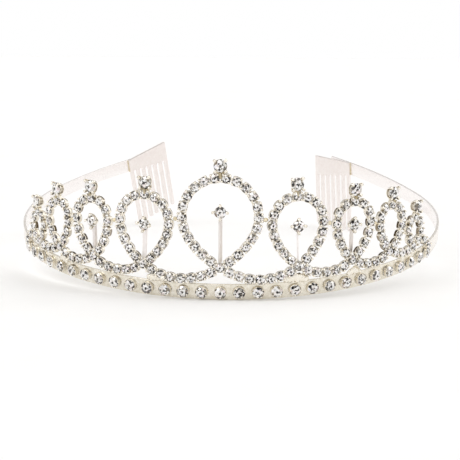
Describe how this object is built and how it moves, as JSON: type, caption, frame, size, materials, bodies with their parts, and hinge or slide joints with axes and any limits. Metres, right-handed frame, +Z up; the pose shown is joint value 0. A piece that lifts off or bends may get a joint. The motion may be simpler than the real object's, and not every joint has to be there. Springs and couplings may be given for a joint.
{
  "type": "bridal tiara",
  "caption": "Silver-plated bridal tiara: a C-shaped headband with a row of crystals, teardrop loops of claw-set cup chain, stones on stems and a hair comb at each end",
  "frame": {"origin": "middle of the bounding box, on the level surface that the tiara stands on", "axes": "+Z up, the front loops face -Y, +X is to the right seen from the front, and the arms run back along +Y"},
  "size_m": [0.1408, 0.1526, 0.0419],
  "materials": {
    "band_metal": "bright silver plate, slightly warm",
    "chain_metal": "bright silver plate, warm in the gaps",
    "setting_metal": "polished silver plate",
    "stem_metal": "pale satin",
    "comb_metal": "pale satin plate",
    "solder": "satin, faintly golden",
    "crystal": "clear faceted"
  },
  "bodies": {
    "root": {"band_cups": "band_metal", "band_stones": "crystal", "comb_left": "comb_metal", "comb_right": "comb_metal", "crown_setting_center": "setting_metal", "crown_setting_left_1": "setting_metal", "crown_setting_left_2": "setting_metal", "crown_setting_left_3": "setting_metal", "crown_setting_left_4": "setting_metal", "crown_setting_right_1": "setting_metal", "crown_setting_right_2": "setting_metal", "crown_setting_right_3": "setting_metal", "crown_setting_right_4": "setting_metal", "crown_stone_center": "crystal", "crown_stone_left_1": "crystal", "crown_stone_left_2": "crystal", "crown_stone_left_3": "crystal", "crown_stone_left_4": "crystal", "crown_stone_right_1": "crystal", "crown_stone_right_2": "crystal", "crown_stone_right_3": "crystal", "crown_stone_right_4": "crystal", "headband": "band_metal", "loop_cups_center": "chain_metal", "loop_cups_left_1": "chain_metal", "loop_cups_left_2": "chain_metal", "loop_cups_left_3": "chain_metal", "loop_cups_left_4": "chain_metal", "loop_cups_right_1": "chain_metal", "loop_cups_right_2": "chain_metal", "loop_cups_right_3": "chain_metal", "loop_cups_right_4": "chain_metal", "loop_stones_center": "crystal", "loop_stones_left_1": "crystal", "loop_stones_left_2": "crystal", "loop_stones_left_3": "crystal", "loop_stones_left_4": "crystal", "loop_stones_right_1": "crystal", "loop_stones_right_2": "crystal", "loop_stones_right_3": "crystal", "loop_stones_right_4": "crystal", "solder_beads": "solder", "solitaire_setting_center": "setting_metal", "solitaire_setting_left_1": "setting_metal", "solitaire_setting_left_2": "setting_metal", "solitaire_setting_right_1": "setting_metal", "solitaire_setting_right_2": "setting_metal", "solitaire_stone_center": "crystal", "solitaire_stone_left_1": "crystal", "solitaire_stone_left_2": "crystal", "solitaire_stone_right_1": "crystal", "solitaire_stone_right_2": "crystal", "stem_center": "stem_metal", "stem_left_1": "stem_metal", "stem_left_2": "stem_metal", "stem_right_1": "stem_metal", "stem_right_2": "stem_metal", "swag_cups": "chain_metal", "swag_stones": "crystal"}
  },
  "joints": []
}
